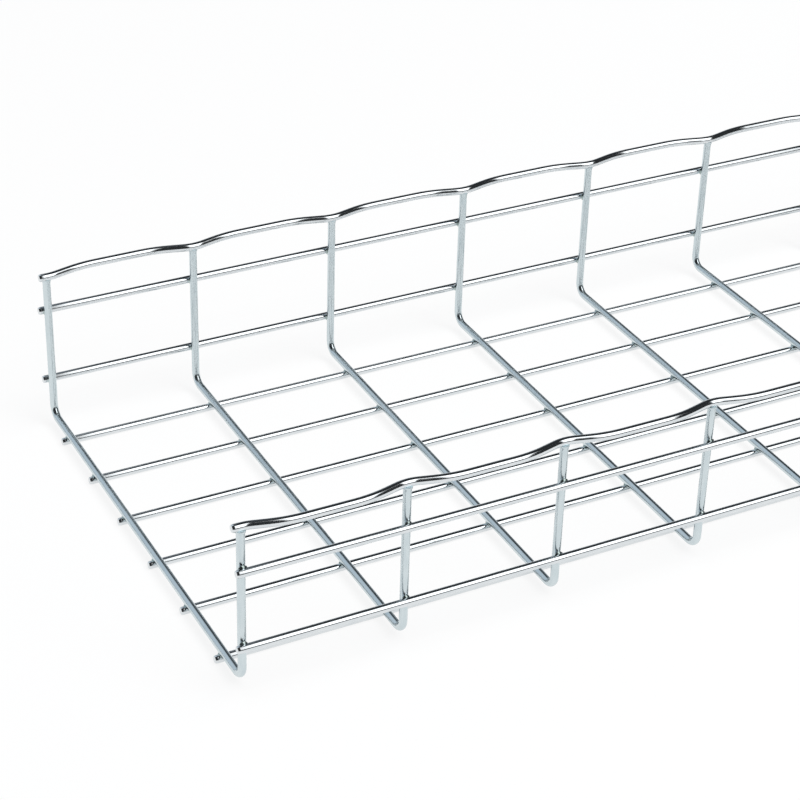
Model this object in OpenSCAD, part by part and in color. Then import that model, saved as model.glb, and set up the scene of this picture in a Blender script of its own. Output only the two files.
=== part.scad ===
// Wire mesh cable tray: straight long wires welded to bent cross wires, in millimetres.
// X runs along the tray, Y across it and Z up. The origin is at the middle of the
// footprint, on the level floor that the lowest wires rest on.

/* [Tray] */
// Clear width between the two walls
inside_width = 300; // [200:10:600]
// Clear depth, from the top of the cross wires to the top of the edge wires
inside_depth = 102; // [85:1:160]
// Number of cross wires along the tray
cross_wire_count = 31; // [2:1:41]
// Distance between neighbouring cross wires
cross_pitch = 100; // [80:5:120]
// Length of every long wire beyond the middle of the end cross wire
wire_overhang = 5; // [4:0.5:30]

/* [Wires] */
// Diameter of the cross wires
cross_wire_d = 5; // [4:0.5:6]
// Diameter of the floor, side and edge wires
long_wire_d = 5; // [4:0.5:6]
// Depth that two wires are pressed into each other where they are welded
weld_set = 0.2; // [0.1:0.1:0.5]
// Radius of a cross wire's two bends, on its centre line
bend_radius = 8; // [6:0.5:12]
// Length over which a sheared wire end is pinched
pinch_length = 1.5; // [0.5:0.5:3]
// Depth that a sheared wire end is pinched all round
pinch_depth = 0.4; // [0.1:0.1:0.8]

/* [Floor] */
// Number of straight wires under the floor
floor_wire_count = 6; // [2:1:6]
// Distance between neighbouring floor wires
floor_pitch = 50; // [20:1:50]

/* [Walls] */
// Height of the lower side wires over the cross wires' centre line
side_wire_height = 24.5; // [18:0.5:30]
// Distance from the lower to the upper side wires
side_pitch = 51; // [30:1:54]

/* [Edge] */
// Distance that an edge wire passes inside the middle of the leg ends
edge_inset = 0.6; // [0:0.1:1.2]
// Slope of an edge wire's jog from the wall's outside to the leg ends
jog_angle = 14.5; // [12:0.5:20]
// Radius of the jog's bend over a leg end, on the wire's centre line
leg_jog_radius = 27; // [15:1:40]
// Radius of the jog's bend into the straight stretch between two legs
span_jog_radius = 80; // [40:5:90]

/* [Hidden] */
$fn = 48;
cross_r = cross_wire_d / 2;
long_r = long_wire_d / 2;
// From a cross wire's centre line to that of a long wire welded across it
weld_distance = cross_r + long_r - weld_set;

cross_run = (cross_wire_count - 1) * cross_pitch;
half_length = cross_run / 2 + wire_overhang;
leg_y = inside_width / 2 + cross_r;

floor_wire_z = long_r;
cross_z = floor_wire_z + weld_distance;
edge_z = cross_z + cross_r + inside_depth - long_r;
// The leg ends stop where the edge wire is welded on
leg_top_z = edge_z - long_r + weld_set;
side_y = leg_y + weld_distance;

// The jog is two bends with a straight slope between them
jog_depth = weld_distance + edge_inset;
jog_bends = (leg_jog_radius + span_jog_radius) * (1 - cos(jog_angle));
slope_length = (jog_depth - jog_bends) / sin(jog_angle);
jog_length = (leg_jog_radius + span_jog_radius) * sin(jog_angle) + slope_length * cos(jog_angle);
// An edge wire is swept: flats for each bend, sides round it, and its corners' radius,
// with which its section has the area of the round wire
jog_steps = 2;
edge_sides = 10;
edge_r = long_r * sqrt(2 * PI / (edge_sides * sin(360 / edge_sides)));

wire_colour = "#BEC8CD";
glossy_colour = "#D5D9DB";

function two_digits(n) = str(n < 10 ? "0" : "", n);
function cross_name(n) = str("cross_wire_", two_digits(n));
function floor_name(n) = str("floor_wire_", n);
function cross_x(n) = (n - 1) * cross_pitch - cross_run / 2;
function floor_y(n) = ((n - 1) - (floor_wire_count - 1) / 2) * floor_pitch;

// Half of a jog, from the middle of a leg end out along +X to the straight stretch
function half_jog() = concat(
    [for (i = [0 : jog_steps]) leg_bend_point(jog_angle * i / jog_steps)],
    [for (i = [jog_steps : -1 : 0]) span_bend_point(jog_angle * i / jog_steps)]
);
function leg_bend_point(turn) = [
    leg_jog_radius * sin(turn),
    leg_jog_radius * (1 - cos(turn)),
    turn,
    edge_r
];
function span_bend_point(turn) = [
    jog_length - span_jog_radius * sin(turn),
    jog_depth - span_jog_radius * (1 - cos(turn)),
    turn,
    edge_r
];
function moved(points, x) = [for (p = points) [p[0] + x, p[1], p[2], p[3]]];
// The same half on the -X side, from the straight stretch in, short of the middle
function turned_back(points) = [
    for (i = [len(points) - 1 : -1 : 1]) let (p = points[i]) [-p[0], p[1], -p[2], p[3]]
];
function edge_path() = [
    [-half_length, 0, 0, edge_r - pinch_depth],
    [pinch_length - half_length, 0, 0, edge_r],
    for (n = [1 : cross_wire_count - 1]) each concat(
        moved(half_jog(), cross_x(n)),
        moved(turned_back(half_jog()), cross_x(n + 1))
    ),
    [cross_x(cross_wire_count), 0, 0, edge_r],
    [half_length - pinch_length, 0, 0, edge_r],
    [half_length, 0, 0, edge_r - pinch_depth]
];

// A round bar from the origin along +X
module bar_x(r, length) {
    rotate([0, 90, 0]) cylinder(r = r, h = length);
}

// The pinched end of a long wire: its face at the origin, the wire going on along +X
module pinched_end() {
    rotate([0, 90, 0]) cylinder(r1 = long_r - pinch_depth, r2 = long_r, h = pinch_length);
}

// A straight long wire of the tray's full length, along X, with two sheared ends
module straight_wire(y, z) {
    color(glossy_colour) translate([0, y, z]) {
        translate([pinch_length - half_length, 0, 0]) bar_x(long_r, 2 * (half_length - pinch_length));
        translate([-half_length, 0, 0]) pinched_end();
        translate([half_length, 0, 0]) mirror([1, 0, 0]) pinched_end();
    }
}

// Half of a cross wire: from the tray's middle along +Y, round the bend and up the leg
module half_cross_wire() {
    rotate([-90, 0, 0]) cylinder(r = cross_r, h = leg_y - bend_radius);
    translate([0, leg_y - bend_radius, bend_radius]) rotate([0, 90, 0])
        rotate_extrude(angle = 90) translate([bend_radius, 0]) circle(r = cross_r);
    translate([0, leg_y, bend_radius]) cylinder(r = cross_r, h = leg_top_z - cross_z - bend_radius);
}

module cross_wire(n) {
    color(wire_colour) translate([cross_x(n), 0, cross_z]) {
        half_cross_wire();
        mirror([0, 1, 0]) half_cross_wire();
    }
}

module floor_wire(n) {
    straight_wire(floor_y(n), floor_wire_z);
}

module side_wire(side, height) {
    straight_wire(side * side_y, cross_z + height);
}

// A wavy wire on the left wall: over each leg end it jogs in and is welded on top.
// Its path lies level, and each point of it is [x, y, heading, radius].
module left_edge_wire() {
    color(glossy_colour) translate([0, leg_y - edge_inset, edge_z]) swept_wire(edge_path());
}

module right_edge_wire() {
    mirror([0, 1, 0]) left_edge_wire();
}

// A round tube with flat ends through the points of a level path
module swept_wire(path) {
    last = len(path) - 1;
    ring = [for (k = [0 : edge_sides - 1]) k * 360 / edge_sides];
    points = [for (p = path, a = ring) [
        p[0] - p[3] * cos(a) * sin(p[2]),
        p[1] + p[3] * cos(a) * cos(p[2]),
        p[3] * sin(a)
    ]];
    sides = [for (i = [0 : last - 1], k = [0 : edge_sides - 1])
        let (here = i * edge_sides, there = here + edge_sides, next = (k + 1) % edge_sides)
        [here + k, here + next, there + next, there + k]];
    start = [[for (k = [edge_sides - 1 : -1 : 0]) k]];
    end = [[for (k = [0 : edge_sides - 1]) last * edge_sides + k]];
    polyhedron(points = points, faces = concat(start, sides, end), convexity = 4);
}

for (n = [1 : cross_wire_count])
    cross_wire(n);
for (n = [1 : floor_wire_count])
    floor_wire(n);
side_wire(-1, side_wire_height);  // right_lower_side_wire
side_wire(-1, side_wire_height + side_pitch);  // right_upper_side_wire
right_edge_wire();
side_wire(1, side_wire_height);  // left_lower_side_wire
side_wire(1, side_wire_height + side_pitch);  // left_upper_side_wire
left_edge_wire();
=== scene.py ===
# Wire mesh cable tray, a straight 3 m length standing free on a level floor.
# Metres throughout: X runs along the tray, Y across it and Z up.
import math
import random

import bpy
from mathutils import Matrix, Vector


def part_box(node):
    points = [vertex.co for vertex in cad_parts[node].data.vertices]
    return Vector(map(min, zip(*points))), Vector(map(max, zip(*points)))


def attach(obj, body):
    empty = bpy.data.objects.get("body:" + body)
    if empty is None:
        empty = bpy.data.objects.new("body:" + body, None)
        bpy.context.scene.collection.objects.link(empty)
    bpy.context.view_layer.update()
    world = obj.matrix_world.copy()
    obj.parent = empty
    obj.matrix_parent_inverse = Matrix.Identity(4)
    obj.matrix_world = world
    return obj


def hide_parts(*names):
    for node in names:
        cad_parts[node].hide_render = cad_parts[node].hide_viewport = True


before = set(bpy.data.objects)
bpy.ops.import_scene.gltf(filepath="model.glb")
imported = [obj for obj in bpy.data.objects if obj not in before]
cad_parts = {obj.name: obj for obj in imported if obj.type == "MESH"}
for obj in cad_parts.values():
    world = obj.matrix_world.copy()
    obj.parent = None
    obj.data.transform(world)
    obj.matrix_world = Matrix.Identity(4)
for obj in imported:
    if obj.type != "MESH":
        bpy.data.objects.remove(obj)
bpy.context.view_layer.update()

# ------------------------------------------------------------------ cross wires
# Each cross wire is one length of 5 mm drawn steel wire, bent twice into a
# flat-bottomed U. Its two leg ends are butt-welded under the edge wires, which
# squeezes a little metal out into a collar, and the whole tray is zinc-plated.
CROSS_NAMES = sorted(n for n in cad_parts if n.startswith("cross_wire_"))
first_low, first_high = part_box(CROSS_NAMES[0])
CROSS_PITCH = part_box(CROSS_NAMES[1])[0].x - first_low.x
CROSS_R = (first_high.x - first_low.x) / 2
CROSS_X = (first_low.x + first_high.x) / 2
CROSS_Z = first_low.z + CROSS_R
LEG_Y = first_high.y - CROSS_R
LEG_TOP = first_high.z
BEND_R = 0.008


def pick_nothing():
    if bpy.context.object and bpy.context.object.mode == "EDIT":
        bpy.ops.object.mode_set(mode="OBJECT")
    bpy.ops.object.select_all(action="DESELECT")


def grow(x=0.0, y=0.0, z=0.0, scale=1.0, about=None):
    """Draws the open end of a wire out by one step, and widens or narrows its new rim."""
    bpy.ops.mesh.extrude_region_move(TRANSFORM_OT_translate={"value": (x, y, z)})
    if scale != 1.0:
        sizes = (1 if x else scale, scale, 1 if z else scale)
        bpy.ops.transform.resize(value=sizes, center_override=about)


def wire_map(piece, line, level):
    """Stores each point's place on the drawn wire: how far along it, then its offset across it.
    line is the wire's flat centre line, and level is the direction square to that line's plane."""
    spine = [Vector(p) for p in line]
    runs = [0.0]
    for a, b in zip(spine, spine[1:]):
        runs.append(runs[-1] + (b - a).length)
    place = piece.data.attributes.new("wire_place", "FLOAT_VECTOR", "POINT")
    values = []
    for vertex in piece.data.vertices:
        best = None
        for i, (a, b) in enumerate(zip(spine, spine[1:])):
            d = b - a
            t = min(1.0, max(0.0, (vertex.co - a).dot(d) / d.length_squared))
            away = vertex.co - (a + d * t)
            if best is None or away.length < best[0]:
                best = (away.length, runs[i] + t * d.length, away, d.normalized())
        side = best[3].cross(level)
        values += [best[1], best[2].dot(side), best[2].dot(level)]
    place.data.foreach_set("vector", values)


def finish_piece(piece, name, material, nodes):
    """Names a modelled piece, smooths it and hands it to the frame in place of its CAD nodes."""
    pick_nothing()
    piece.select_set(True)
    bpy.context.view_layer.objects.active = piece
    bpy.ops.object.mode_set(mode="EDIT")
    bpy.ops.mesh.select_all(action="SELECT")
    bpy.ops.mesh.remove_doubles(threshold=1e-5)
    bpy.ops.mesh.normals_make_consistent(inside=False)
    bpy.ops.object.mode_set(mode="OBJECT")
    bpy.ops.object.shade_smooth_by_angle(angle=math.radians(50))
    piece.name = piece.data.name = name
    piece.data.materials.clear()
    piece.data.materials.append(material)
    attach(piece, "root")
    if nodes:
        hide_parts(*nodes)


def linear(colour):
    """An sRGB hex colour as the linear colour that a socket takes."""
    parts = [int(colour[i : i + 2], 16) / 255 for i in (1, 3, 5)]
    return [c / 12.92 if c <= 0.04045 else ((c + 0.055) / 1.055) ** 2.4 for c in parts] + [1.0]


def add_node(tree, kind, settings=None, **links):
    """Adds one node: settings are its properties and sockets, links the sockets that feed it."""
    node = tree.nodes.new(kind)
    for key, value in (settings or {}).items():
        if isinstance(key, int) or key in node.inputs:
            node.inputs[key].default_value = value
        else:
            setattr(node, key, value)
    for key, source in links.items():
        target = int(key[1:]) if key[0] == "i" and key[1:].isdigit() else key.replace("_", " ")
        tree.links.new(source, node.inputs[target])
    return node


def zinc_plated_wire(name, light, dull, rough, streak):
    """Bright electroplated zinc on drawn steel wire: a blue-white metal with a soft gloss.
    The die leaves fine lines along the wire, and the plating is a touch duller in cloudy patches."""
    material = bpy.data.materials.new(name)
    material.use_nodes = True
    tree = material.node_tree
    tree.nodes.clear()
    place = add_node(tree, "ShaderNodeAttribute", {"attribute_name": "wire_place"})
    # Cloudy plating, patches about 12 mm long and 3 mm wide
    cloud_map = add_node(
        tree, "ShaderNodeMapping", {"Scale": (80, 330, 330)}, Vector=place.outputs["Vector"]
    )
    cloud = add_node(
        tree,
        "ShaderNodeTexNoise",
        {"Scale": 1.0, "Detail": 3.0, "Roughness": 0.6},
        Vector=cloud_map.outputs[0],
    )
    # Die lines: 0.1 mm apart on the wire, drawn 0.4 mm apart so that they show
    line_map = add_node(
        tree, "ShaderNodeMapping", {"Scale": (25, 2500, 2500)}, Vector=place.outputs["Vector"]
    )
    lines = add_node(
        tree,
        "ShaderNodeTexNoise",
        {"Scale": 1.0, "Detail": 2.0, "Roughness": 0.5},
        Vector=line_map.outputs[0],
    )
    tint = add_node(tree, "ShaderNodeValToRGB", Fac=cloud.outputs["Fac"])
    tint.color_ramp.elements[0].position = 0.3
    tint.color_ramp.elements[0].color = linear(dull)
    tint.color_ramp.elements[1].position = 0.62
    tint.color_ramp.elements[1].color = linear(light)
    gloss = add_node(
        tree,
        "ShaderNodeMapRange",
        {"From Min": 0.3, "From Max": 0.7, "To Min": rough * 0.8, "To Max": rough * 1.3},
        Value=cloud.outputs["Fac"],
    )
    relief = add_node(
        tree,
        "ShaderNodeBump",
        {"Strength": streak, "Distance": 0.00002},
        Height=lines.outputs["Fac"],
    )
    shader = add_node(
        tree,
        "ShaderNodeBsdfPrincipled",
        {"Metallic": 1.0},
        Base_Color=tint.outputs["Color"],
        Roughness=gloss.outputs["Result"],
        Normal=relief.outputs["Normal"],
    )
    add_node(tree, "ShaderNodeOutputMaterial", Surface=shader.outputs[0])
    return material


def copies_of(model, count):
    """The modelled wire followed by its copies, each with a mesh of its own."""
    pieces = [model]
    while len(pieces) < count:
        piece = model.copy()
        piece.data = model.data.copy()
        bpy.context.scene.collection.objects.link(piece)
        pieces.append(piece)
    return pieces


pick_nothing()
bpy.ops.mesh.primitive_circle_add(
    vertices=24, radius=CROSS_R, location=(CROSS_X, 0, CROSS_Z), rotation=(math.pi / 2, 0, 0)
)
cross = bpy.context.object
bpy.ops.object.transform_apply(location=True, rotation=True, scale=True)
bpy.ops.object.mode_set(mode="EDIT")
bpy.ops.mesh.select_all(action="SELECT")
for step in range(6):
    grow(y=(LEG_Y - BEND_R) / 6)
bpy.ops.mesh.spin(
    steps=8,
    angle=math.pi / 2,
    center=(CROSS_X, LEG_Y - BEND_R, CROSS_Z + BEND_R),
    axis=(-1, 0, 0),
)
straight = LEG_TOP - 0.0026 - (CROSS_Z + BEND_R)
for step in range(4):
    grow(z=straight / 4)
# The collar squeezed out by the weld, up into the edge wire that sits on it
for rise, swell in ((0.0010, 1.04), (0.0008, 1.08), (0.0008, 1.10), (0.0006, 0.97)):
    grow(z=rise, scale=swell, about=(CROSS_X, LEG_Y, LEG_TOP))
bpy.ops.mesh.edge_face_add()
bpy.ops.object.mode_set(mode="OBJECT")
bpy.ops.object.modifier_add(type="MIRROR")
mirror = cross.modifiers[-1]
mirror.use_axis = (False, True, False)
mirror.merge_threshold = 1e-5
bpy.ops.object.modifier_apply(modifier=mirror.name)

half_u = [(CROSS_X, 0, CROSS_Z)]
half_u += [
    (
        CROSS_X,
        LEG_Y - BEND_R + BEND_R * math.sin(math.radians(a)),
        CROSS_Z + BEND_R - BEND_R * math.cos(math.radians(a)),
    )
    for a in range(0, 91, 15)
]
half_u.append((CROSS_X, LEG_Y, LEG_TOP + 0.001))
wire_map(cross, [(x, -y, z) for x, y, z in reversed(half_u[1:])] + half_u[1:], Vector((1, 0, 0)))

bright_cross_zinc = zinc_plated_wire("zinc_plated_cross_wire", "#D2DCDF", "#C6D2D6", 0.2, 0.08)
crosses = copies_of(cross, len(CROSS_NAMES))
for number, (piece, node) in enumerate(zip(crosses, CROSS_NAMES)):
    for vertex in piece.data.vertices:
        vertex.co.x += CROSS_PITCH * number
    # Each wire comes off the coil at its own place, so its plating isn't its neighbour's
    for datum in piece.data.attributes["wire_place"].data:
        datum.vector = datum.vector + Vector((number * 1.37, 0, 0))
    finish_piece(piece, node + "_round", bright_cross_zinc, [node])

# ------------------------------------------------------- floor and side wires
# Ten straight lengths of the same drawn wire, resistance-welded to the cross wires:
# six under the floor and two outside each wall. Their ends are sheared 5 mm beyond the
# end cross wires, which pinches them.
STRAIGHT_NAMES = [
    n for n in sorted(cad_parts) if n.startswith("floor_wire_") or n.endswith("side_wire")
]
PINCH = 0.0015
PINCH_DEPTH = 0.0004
wire_low, wire_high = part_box(STRAIGHT_NAMES[0])
LONG_R = (wire_high.z - wire_low.z) / 2
END_X = wire_high.x
STRETCHES = 60
# The pinched end is rounded: it widens by most of the pinch at half its length
FULL_WIDTH = LONG_R / (LONG_R - PINCH_DEPTH)
SHOULDER = 1 + (FULL_WIDTH - 1) * 0.7


def pick_rim(piece, x):
    """Goes into edit mode with only the wire's open rim at that place along the tray selected."""
    bpy.ops.object.mode_set(mode="EDIT")
    bpy.ops.mesh.select_mode(type="EDGE")
    bpy.ops.mesh.select_all(action="DESELECT")
    bpy.ops.object.mode_set(mode="OBJECT")
    points = piece.data.vertices
    for edge in piece.data.edges:
        edge.select = all(abs(points[v].co.x - x) < 1e-5 for v in edge.vertices)
    bpy.ops.object.mode_set(mode="EDIT")


pick_nothing()
bpy.ops.mesh.primitive_circle_add(
    vertices=24, radius=LONG_R - PINCH_DEPTH, location=(-END_X, 0, 0), rotation=(0, math.pi / 2, 0)
)
straight_wire = bpy.context.object
bpy.ops.object.transform_apply(location=True, rotation=True, scale=True)
bpy.ops.object.mode_set(mode="EDIT")
bpy.ops.mesh.select_all(action="SELECT")
grow(x=PINCH / 2, scale=SHOULDER, about=(-END_X, 0, 0))
grow(x=PINCH / 2, scale=FULL_WIDTH / SHOULDER, about=(-END_X, 0, 0))
for step in range(STRETCHES):
    grow(x=2 * (END_X - PINCH) / STRETCHES)
grow(x=PINCH / 2, scale=SHOULDER / FULL_WIDTH, about=(END_X, 0, 0))
grow(x=PINCH / 2, scale=1 / SHOULDER, about=(END_X, 0, 0))
bpy.ops.mesh.edge_face_add()
pick_rim(straight_wire, -END_X)
bpy.ops.mesh.edge_face_add()
bpy.ops.object.mode_set(mode="OBJECT")
wire_map(straight_wire, [(-END_X - 0.01, 0, 0), (END_X + 0.01, 0, 0)], Vector((0, 0, 1)))

bright_long_zinc = zinc_plated_wire("zinc_plated_long_wire", "#DEE2E4", "#D4DADD", 0.1, 0.08)
straights = copies_of(straight_wire, len(STRAIGHT_NAMES))
for number, (piece, node) in enumerate(zip(straights, STRAIGHT_NAMES)):
    low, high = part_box(node)
    for vertex in piece.data.vertices:
        vertex.co += Vector((0, (low.y + high.y) / 2, (low.z + high.z) / 2))
    for datum in piece.data.attributes["wire_place"].data:
        datum.vector = datum.vector + Vector((number * 3.71, 0, 0))
    finish_piece(piece, node + "_round", bright_long_zinc, [node])

# ----------------------------------------------------------------- edge wires
# One wavy wire runs along the top of each wall. Between the legs it lies straight over
# the side wires, and at each leg it is jogged in, level, and welded on top of the leg.
edge_low, edge_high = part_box("left_edge_wire")
EDGE_Z = edge_high.z - LONG_R
JOG_ANGLE = math.radians(14.5)
LEG_JOG_R = 0.027
SPAN_JOG_R = 0.080
EDGE_INSET = 0.0006
EDGE_IN_Y = LEG_Y - EDGE_INSET
EDGE_OUT_Y = edge_high.y - LONG_R
JOG_DEPTH = EDGE_OUT_Y - EDGE_IN_Y
SLOPE = (JOG_DEPTH - (LEG_JOG_R + SPAN_JOG_R) * (1 - math.cos(JOG_ANGLE))) / math.sin(JOG_ANGLE)
JOG_LENGTH = (LEG_JOG_R + SPAN_JOG_R) * math.sin(JOG_ANGLE) + SLOPE * math.cos(JOG_ANGLE)

pick_nothing()
bpy.ops.mesh.primitive_circle_add(
    vertices=24, radius=LONG_R, location=(CROSS_X, EDGE_IN_Y, EDGE_Z), rotation=(0, math.pi / 2, 0)
)
edge_wire = bpy.context.object
bpy.ops.object.transform_apply(location=True, rotation=True, scale=True)
bpy.ops.object.mode_set(mode="EDIT")
bpy.ops.mesh.select_all(action="SELECT")
bpy.ops.mesh.spin(
    steps=5, angle=JOG_ANGLE, center=(CROSS_X, EDGE_IN_Y + LEG_JOG_R, EDGE_Z), axis=(0, 0, -1)
)
grow(x=SLOPE * math.cos(JOG_ANGLE), y=SLOPE * math.sin(JOG_ANGLE))
bpy.ops.mesh.spin(
    steps=5,
    angle=-JOG_ANGLE,
    center=(CROSS_X + JOG_LENGTH, EDGE_OUT_Y - SPAN_JOG_R, EDGE_Z),
    axis=(0, 0, -1),
)
grow(x=CROSS_PITCH / 2 - JOG_LENGTH)
bpy.ops.object.mode_set(mode="OBJECT")
bpy.context.scene.cursor.location = (CROSS_X + CROSS_PITCH / 2, 0, 0)
bpy.ops.object.origin_set(type="ORIGIN_CURSOR")
bpy.ops.object.modifier_add(type="MIRROR")
edge_wire.modifiers[-1].merge_threshold = 1e-5
bpy.ops.object.modifier_apply(modifier=edge_wire.modifiers[-1].name)
bpy.ops.object.modifier_add(type="ARRAY")
row = edge_wire.modifiers[-1]
row.count = len(CROSS_NAMES) - 1
row.use_relative_offset = False
row.use_constant_offset = True
row.constant_offset_displace = (CROSS_PITCH, 0, 0)
row.use_merge_vertices = True
row.merge_threshold = 1e-5
bpy.ops.object.modifier_apply(modifier=row.name)
bpy.ops.object.transform_apply(location=True, rotation=True, scale=True)

# Both ends run on past the last legs and are sheared there
# (0.95 is the width half-way along the pinch, and 0.84 that of the end face)
for way in (-1, 1):
    tip = (way * END_X, EDGE_IN_Y, EDGE_Z)
    pick_rim(edge_wire, -way * CROSS_X)
    grow(x=way * (END_X + CROSS_X - PINCH))
    grow(x=way * PINCH / 2, scale=0.95, about=tip)
    grow(x=way * PINCH / 2, scale=0.84 / 0.95, about=tip)
    bpy.ops.mesh.edge_face_add()
    bpy.ops.object.mode_set(mode="OBJECT")

jog_line = [(0.0, 0.0)]
for turn in range(1, 4):
    a = JOG_ANGLE * turn / 3
    jog_line.append((LEG_JOG_R * math.sin(a), LEG_JOG_R * (1 - math.cos(a))))
for turn in range(3, -1, -1):
    a = JOG_ANGLE * turn / 3
    jog_line.append(
        (JOG_LENGTH - SPAN_JOG_R * math.sin(a), JOG_DEPTH - SPAN_JOG_R * (1 - math.cos(a)))
    )
jog_line += [(CROSS_PITCH - x, y) for x, y in reversed(jog_line[1:])]


def wavy_map(piece, side):
    """Stores each point's place on a wavy wire: how far along it, then its offset across it."""
    place = piece.data.attributes.new("wire_place", "FLOAT_VECTOR", "POINT")
    for vertex, datum in zip(piece.data.vertices, place.data):
        along = min(max(vertex.co.x - CROSS_X, 0.0), CROSS_PITCH * (len(CROSS_NAMES) - 1))
        x = along % CROSS_PITCH
        for (x0, y0), (x1, y1) in zip(jog_line, jog_line[1:] + [(CROSS_PITCH, 0.0)]):
            if x <= x1:
                y = y0 + (y1 - y0) * (x - x0) / max(x1 - x0, 1e-9)
                break
        datum.vector = (vertex.co.x + 2.0, vertex.co.y - side * (EDGE_IN_Y + y), vertex.co.z - EDGE_Z)


for name, side in (("left_edge_wire", 1), ("right_edge_wire", -1)):
    piece = edge_wire
    if side < 0:
        piece = edge_wire.copy()
        piece.data = edge_wire.data.copy()
        piece.parent = None
        piece.data.attributes.remove(piece.data.attributes["wire_place"])
        bpy.context.scene.collection.objects.link(piece)
        for vertex in piece.data.vertices:
            vertex.co.y = -vertex.co.y
    wavy_map(piece, side)
    finish_piece(piece, name + "_round", bright_long_zinc, [name])

# ---------------------------------------------------------------------- welds
# Every crossing is a resistance weld: the two wires sink into each other a little, and
# a small irregular bead of plated steel stands in the corners round the joint.
dice = random.Random(11)
pick_nothing()
bpy.ops.mesh.primitive_uv_sphere_add(segments=10, ring_count=6, radius=0.0027, location=(0, 0, 0))
bead = bpy.context.object
bpy.ops.object.mode_set(mode="EDIT")
bpy.ops.mesh.select_all(action="SELECT")
bpy.ops.transform.resize(value=(1.0, 1.0, 0.52), center_override=(0, 0, 0))
bpy.ops.transform.vertex_random(offset=0.00018, uniform=1.0, normal=0.0, seed=5)
bpy.ops.object.mode_set(mode="OBJECT")
weld_zinc = zinc_plated_wire("zinc_plated_weld", "#C3D0CE", "#84948F", 0.26, 0.3)


def weld_group(name, spots):
    """One bead copied to each spot: its centre, the rotation that lays it in the joint, and a size."""
    copies = []
    for centre, turn, size in spots:
        piece = bead.copy()
        piece.data = bead.data.copy()
        bpy.context.scene.collection.objects.link(piece)
        piece.location = centre
        piece.rotation_euler = turn
        piece.scale = size
        copies.append(piece)
    pick_nothing()
    for piece in copies:
        piece.select_set(True)
    bpy.context.view_layer.objects.active = copies[0]
    bpy.ops.object.join()
    bpy.ops.object.transform_apply(location=True, rotation=True, scale=True)
    group = bpy.context.object
    place = group.data.attributes.new("wire_place", "FLOAT_VECTOR", "POINT")
    for vertex, datum in zip(group.data.vertices, place.data):
        datum.vector = vertex.co
    finish_piece(group, name, weld_zinc, [])


floor_spots, side_spots = [], []
for number in range(len(CROSS_NAMES)):
    x = CROSS_X + CROSS_PITCH * number
    for node in STRAIGHT_NAMES:
        low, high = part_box(node)
        y, z = (low.y + high.y) / 2, (low.z + high.z) / 2
        size = [dice.uniform(0.94, 1.16), dice.uniform(0.94, 1.16), dice.uniform(0.9, 1.15)]
        spin = dice.uniform(-0.5, 0.5)
        if node.startswith("floor"):
            floor_spots.append(((x, y, (z + CROSS_Z) / 2), (0, 0, spin), size))
        else:
            across = (y + math.copysign(LEG_Y, y)) / 2
            side_spots.append(((x, across, z), (math.pi / 2, spin, 0), size))
weld_group("floor_wire_welds", floor_spots)
weld_group("side_wire_welds", side_spots)
bpy.data.objects.remove(bead)

# --------------------------------------------------------------------- studio
# A white sweep under the tray, a large softbox high on the right of the viewer, and
# dark studio walls that give the bright wires their black lines.
pick_nothing()
bpy.ops.mesh.primitive_plane_add(size=60, location=(0, 0, 0))
floor = bpy.context.object
floor.name = "floor"
paper = bpy.data.materials.new("white_paper_sweep")
paper.use_nodes = True
tree = paper.node_tree
tree.nodes.clear()
ray = add_node(tree, "ShaderNodeLightPath")
seen = add_node(
    tree,
    "ShaderNodeMath",
    {"operation": "ADD", "use_clamp": True},
    i0=ray.outputs["Is Camera Ray"],
    i1=ray.outputs["Is Glossy Ray"],
)
seen = add_node(
    tree,
    "ShaderNodeMath",
    {"operation": "ADD", "use_clamp": True},
    i0=seen.outputs[0],
    i1=ray.outputs["Is Transmission Ray"],
)
# Round the tray the paper takes its shadow, and from 2 m out it goes over into the white backdrop
spot = add_node(tree, "ShaderNodeTexCoord")
reach = add_node(tree, "ShaderNodeVectorMath", {"operation": "LENGTH"}, Vector=spot.outputs["Object"])
pale = add_node(
    tree,
    "ShaderNodeMapRange",
    {"From Min": 2.0, "From Max": 4.0, "To Min": 0.85, "To Max": 1.0},
    Value=reach.outputs["Value"],
)
share = add_node(
    tree,
    "ShaderNodeMath",
    {"operation": "MULTIPLY"},
    i0=seen.outputs[0],
    i1=pale.outputs["Result"],
)
matt = add_node(tree, "ShaderNodeBsdfDiffuse", {"Color": (0.85, 0.85, 0.85, 1)})
white = add_node(tree, "ShaderNodeEmission", {"Color": (1, 1, 1, 1), "Strength": 1.0})
both = add_node(
    tree, "ShaderNodeMixShader", i0=share.outputs[0], i1=matt.outputs[0], i2=white.outputs[0]
)
add_node(tree, "ShaderNodeOutputMaterial", Surface=both.outputs[0])
floor.data.materials.append(paper)

world = bpy.data.worlds.new("studio")
bpy.context.scene.world = world
world.use_nodes = True
tree = world.node_tree
tree.nodes.clear()
ray = add_node(tree, "ShaderNodeLightPath")
way = add_node(tree, "ShaderNodeTexCoord")
part = add_node(tree, "ShaderNodeSeparateXYZ", Vector=way.outputs["Generated"])
toward = add_node(tree, "ShaderNodeMath", {"operation": "MULTIPLY", 1: -1.0}, i0=part.outputs["Y"])
# Height over the viewer's horizon: 0 level in front, a quarter turn overhead, half a turn behind
lift = add_node(
    tree, "ShaderNodeMath", {"operation": "ARCTAN2"}, i0=part.outputs["Z"], i1=toward.outputs[0]
)
right = part.outputs["X"]


def soft_edge(source, start, end):
    """A soft edge in the sky: 0 where source is at start, and 1 where it is at end."""
    settings = {"interpolation_type": "SMOOTHSTEP", "From Min": start, "From Max": end}
    return add_node(tree, "ShaderNodeMapRange", settings, Value=source).outputs["Result"]


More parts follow.
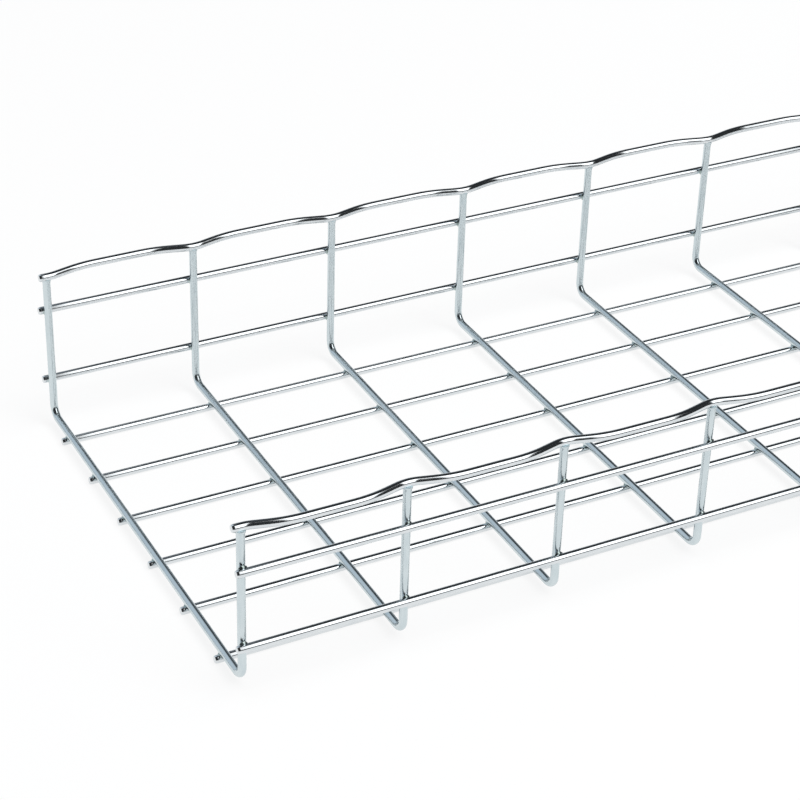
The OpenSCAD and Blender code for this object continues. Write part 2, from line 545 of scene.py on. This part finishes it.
def joined(operation, *masks):
    """Masks multiplied, so that only what lies in all of them stays, or the greatest of them."""
    total = masks[0]
    for mask in masks[1:]:
        total = add_node(
            tree, "ShaderNodeMath", {"operation": operation}, i0=total, i1=mask
        ).outputs[0]
    return total


overhead = lift.outputs[0]
box_mask = joined(
    "MULTIPLY",
    soft_edge(right, 0.10, 0.22),
    soft_edge(right, 0.61, 0.53),
    soft_edge(overhead, math.radians(17), math.radians(26)),
    soft_edge(overhead, math.radians(87), math.radians(79)),
)
# Behind the tray a pale wall on the left, and a dimmer strip low down on the right
left_wall = joined(
    "MULTIPLY",
    soft_edge(right, 0.32, -0.05),
    soft_edge(overhead, math.radians(98), math.radians(124)),
)
low_strip = add_node(
    tree,
    "ShaderNodeMath",
    {"operation": "MULTIPLY", 1: 0.38},
    i0=soft_edge(overhead, math.radians(144), math.radians(166)),
)
far_side = joined(
    "MULTIPLY",
    joined("MAXIMUM", left_wall, low_strip.outputs[0]),
    soft_edge(overhead, math.radians(180), math.radians(171)),
)
dark, wall = linear("#2E3032"), linear("#D2DCE6")
sky = add_node(tree, "ShaderNodeMix", {"data_type": "RGBA", 6: dark, 7: wall}, i0=far_side)
SOFTBOX = (2.2, 2.2, 2.2, 1)
lit = add_node(
    tree, "ShaderNodeMix", {"data_type": "RGBA", 7: SOFTBOX}, i0=box_mask, i6=sky.outputs[2]
)
studio = add_node(tree, "ShaderNodeBackground", {"Strength": 1.0}, Color=lit.outputs[2])
plain = add_node(tree, "ShaderNodeBackground", {"Color": (1, 1, 1, 1), "Strength": 1.0})
pick = add_node(
    tree,
    "ShaderNodeMixShader",
    i0=ray.outputs["Is Camera Ray"],
    i1=studio.outputs[0],
    i2=plain.outputs[0],
)
add_node(tree, "ShaderNodeOutputWorld", Surface=pick.outputs[0])

bpy.ops.object.light_add(type="AREA", location=(-0.3, -1.6, 4.5))
lamp = bpy.context.object
lamp.data.size = 4.5
lamp.data.energy = 260
lamp.visible_camera = False
lamp.visible_glossy = False
lamp.rotation_euler = (Vector((-0.3, 0, 0)) - lamp.location).to_track_quat("-Z", "Y").to_euler()

# --------------------------------------------------------------------- camera
# A long lens looks down on the near end of the tray from beyond its right wall.
bpy.ops.object.camera_add(
    location=(-1.8930, -1.0681, 0.8035),
    rotation=(math.radians(58.3488), math.radians(-1.4869), math.radians(-27.0745)),
)
camera = bpy.context.object
camera.data.sensor_width = 36
camera.data.lens = 102.515
camera.data.clip_start = 0.05
camera.data.clip_end = 100
bpy.context.scene.camera = camera
bpy.context.scene.view_settings.view_transform = "Standard"
